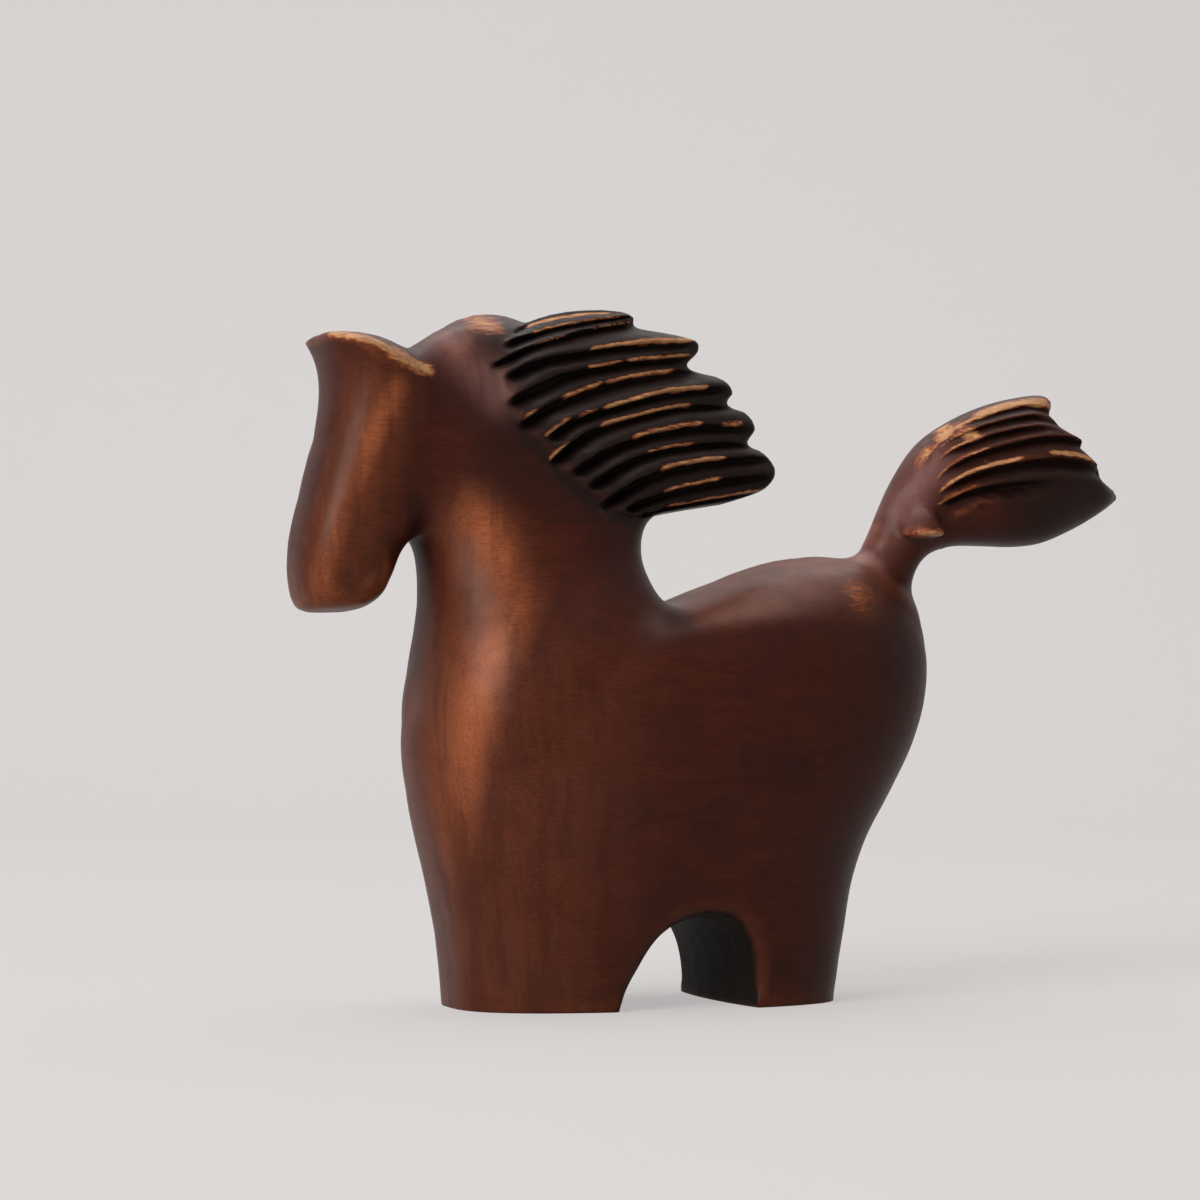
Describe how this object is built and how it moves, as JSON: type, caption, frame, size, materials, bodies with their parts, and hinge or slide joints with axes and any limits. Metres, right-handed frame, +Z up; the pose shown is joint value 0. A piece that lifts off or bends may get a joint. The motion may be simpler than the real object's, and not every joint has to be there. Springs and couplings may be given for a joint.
{
  "type": "horse figurine",
  "caption": "Stylised carved wooden horse ornament with a long hanging head, a swept ridged mane, a raised grooved tail, and broad front and rear foot blocks parted by an arch.",
  "frame": {"origin": "on the floor under the middle of the figurine's length, on its plane of symmetry", "axes": "+Z up, -Y towards the nose, +X towards the horse's left flank"},
  "size_m": [0.058, 0.1798, 0.1386],
  "materials": {
    "body_stain": "satin dark red-brown stain, burnished lighter on the chest and shoulder",
    "head_stain": "satin red-brown stain, worn to bare wood along the top rim",
    "mane_stain": "near-black stain, worn to bare wood on the ridge crests",
    "tail_stain": "satin dark purple-brown stain, worn to bare wood on the bands between the grooves",
    "bare_wood": "bare sanded wood"
  },
  "bodies": {
    "root": {"head": "head_stain", "mane": "mane_stain", "tail": "tail_stain", "body": "body_stain", "head_dowel_upper": "bare_wood", "head_dowel_lower": "bare_wood", "mane_dowel_front": "bare_wood", "mane_dowel_rear": "bare_wood", "tail_dowel": "bare_wood"}
  },
  "joints": []
}
